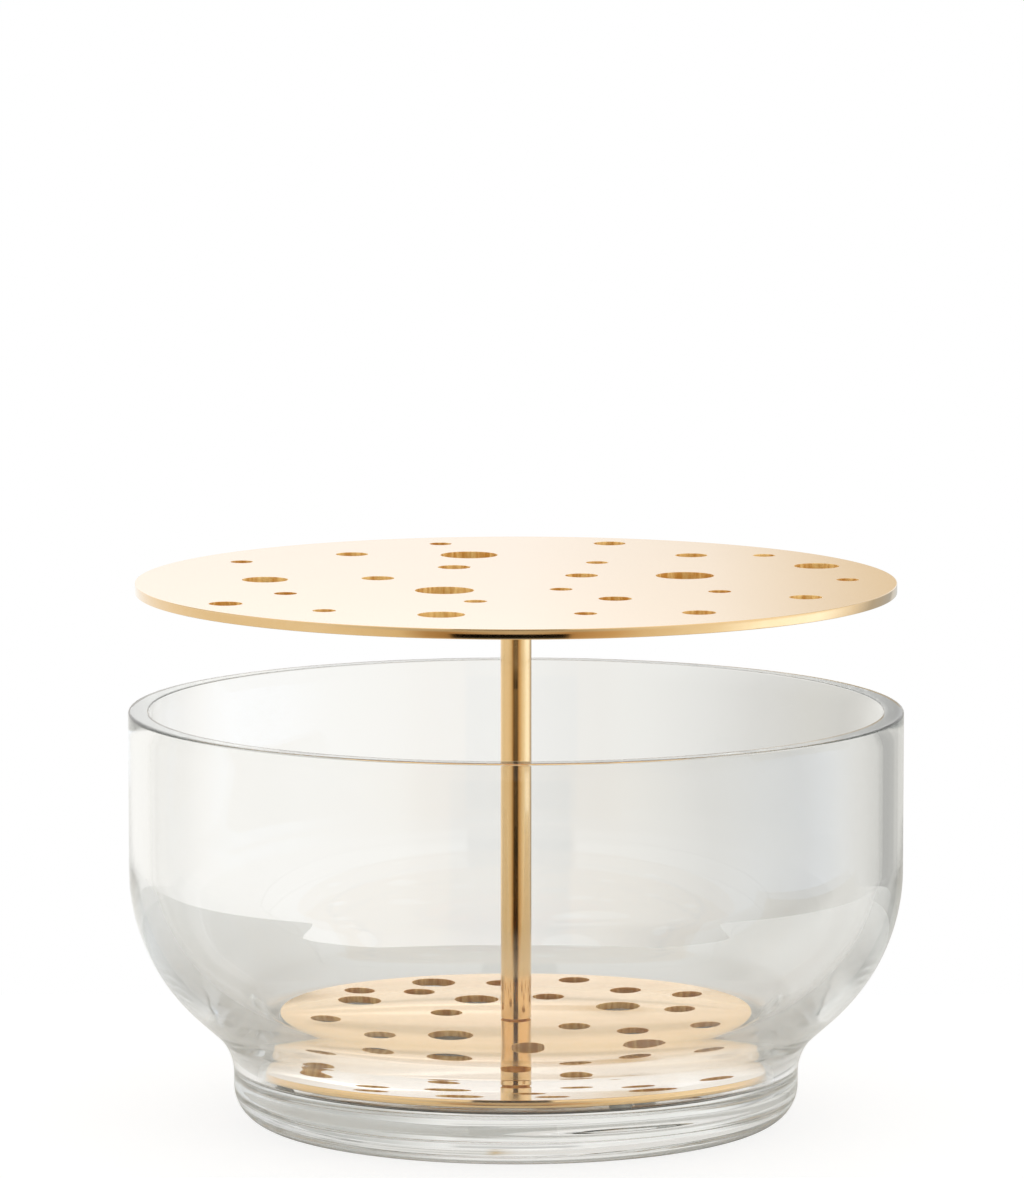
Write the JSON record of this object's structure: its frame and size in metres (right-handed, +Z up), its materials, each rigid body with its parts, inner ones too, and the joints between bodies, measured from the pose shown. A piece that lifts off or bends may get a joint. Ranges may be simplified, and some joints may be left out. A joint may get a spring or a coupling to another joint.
{
  "type": "ikebana vase",
  "caption": "Clear glass bowl on a thick drawn-in foot, with a lift-out brass insert: two drilled plates on a stem that hold cut flower stems upright.",
  "frame": {"origin": "centre of the bowl's foot, on the surface that it stands on", "axes": "+Z up along the stem, +X to the right and +Y away from the viewer in the pictured view"},
  "size_m": [0.2488, 0.2488, 0.1741],
  "materials": {
    "clear_glass": "clear blown glass, fire-polished",
    "polished_brass": "polished, lacquered",
    "screw_steel": "plain stainless",
    "soft_foot": "soft, translucent grey"
  },
  "bodies": {
    "bowl": {"glass_bowl": "clear_glass"},
    "insert": {"lower_plate": "polished_brass", "upper_plate": "polished_brass", "stem": "polished_brass", "stem_screw": "screw_steel", "foot_front": "soft_foot", "foot_right": "soft_foot", "foot_left": "soft_foot"}
  },
  "joints": [
    {"name": "insert_lift", "type": "slide", "parent": "bowl", "child": "insert", "axis": [0, 0, 1], "range_m": [0, 0.125]}
  ]
}
